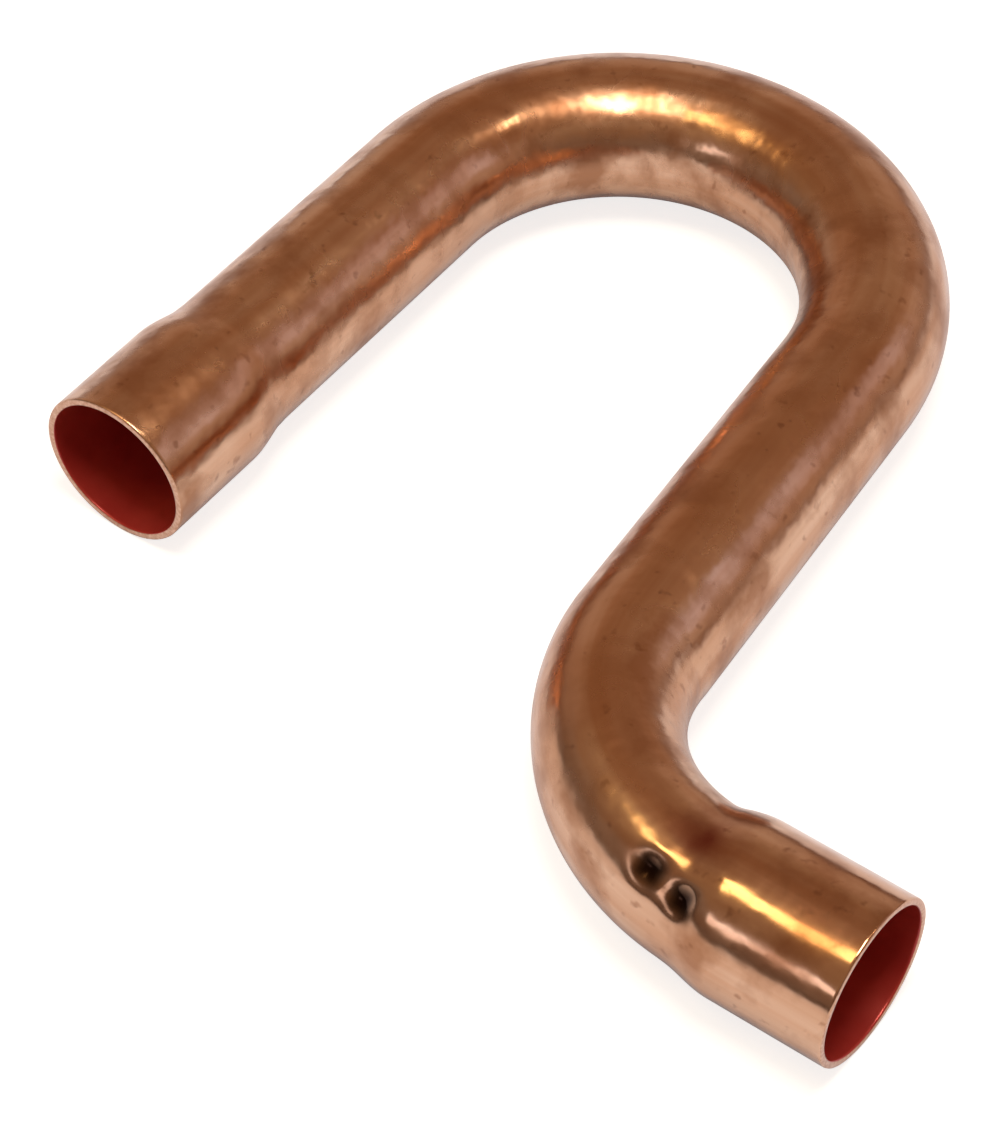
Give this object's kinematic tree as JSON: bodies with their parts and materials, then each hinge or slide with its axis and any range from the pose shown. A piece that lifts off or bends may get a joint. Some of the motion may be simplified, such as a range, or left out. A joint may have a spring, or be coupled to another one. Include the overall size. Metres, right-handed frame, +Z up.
{
  "type": "s trap",
  "caption": "Bent copper tube trap with a return bend, a square outlet bend and a swaged socket at each end, to hold liquid in a pipe run.",
  "frame": {"origin": "middle of the inlet mouth, on the tube's centre line", "axes": "+Y into the inlet, +X out of the outlet, +Z up from the plane that both bends lie in; the trap lies on its side"},
  "size_m": [0.1475, 0.1443, 0.0246],
  "materials": {
    "copper": "drawn tube, bright with light tarnish"
  },
  "bodies": {
    "root": {"trap_tube": "copper"}
  },
  "joints": []
}
